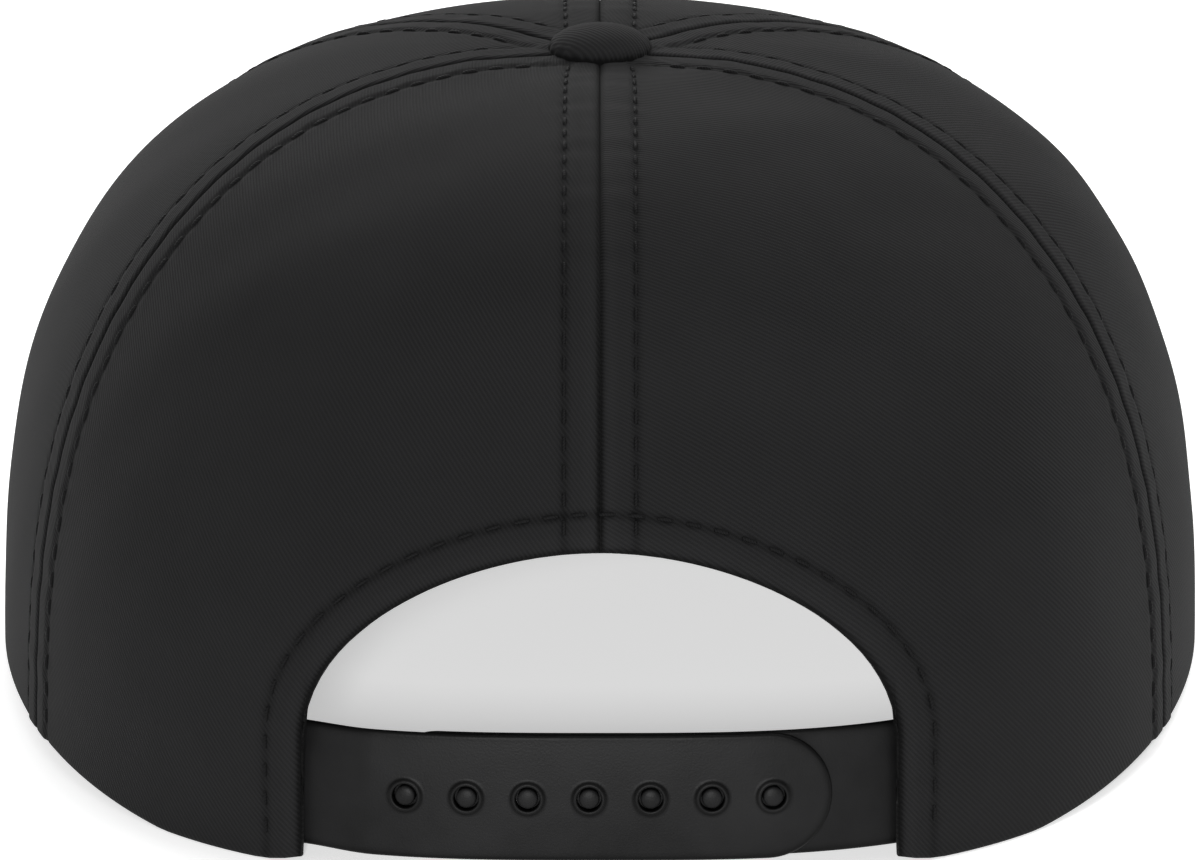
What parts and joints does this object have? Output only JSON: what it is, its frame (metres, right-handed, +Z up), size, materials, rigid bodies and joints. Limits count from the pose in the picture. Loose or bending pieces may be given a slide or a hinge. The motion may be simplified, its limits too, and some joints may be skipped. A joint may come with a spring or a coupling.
{
  "type": "rope cap",
  "caption": "Black structured cap with seamed cloth panels, cloth button, curved peak, rope across the front and plastic snap straps under an arched rear opening.",
  "frame": {"origin": "the middle of the ground that the cap covers, on the table that it rests on", "axes": "+Z up, +Y towards the snap straps at the back, -Y towards the peak, +X towards the wearer's left"},
  "size_m": [0.1704, 0.261, 0.0934],
  "materials": {
    "crown_cloth": "black cotton twill with topstitched seams",
    "button_cloth": "black cotton twill drawn over a domed button",
    "peak_cloth": "black cotton twill over a stiff board, with rows of stitching",
    "rope_cord": "black twisted cord",
    "strap_plastic": "black moulded plastic, satin"
  },
  "bodies": {
    "root": {"panel_back_left": "crown_cloth", "panel_back_right": "crown_cloth", "panel_side_left": "crown_cloth", "panel_side_right": "crown_cloth", "panel_front_left": "crown_cloth", "panel_front_right": "crown_cloth", "top_button": "button_cloth", "peak": "peak_cloth", "rope": "rope_cord", "strap_outer": "strap_plastic", "strap_inner": "strap_plastic"}
  },
  "joints": []
}
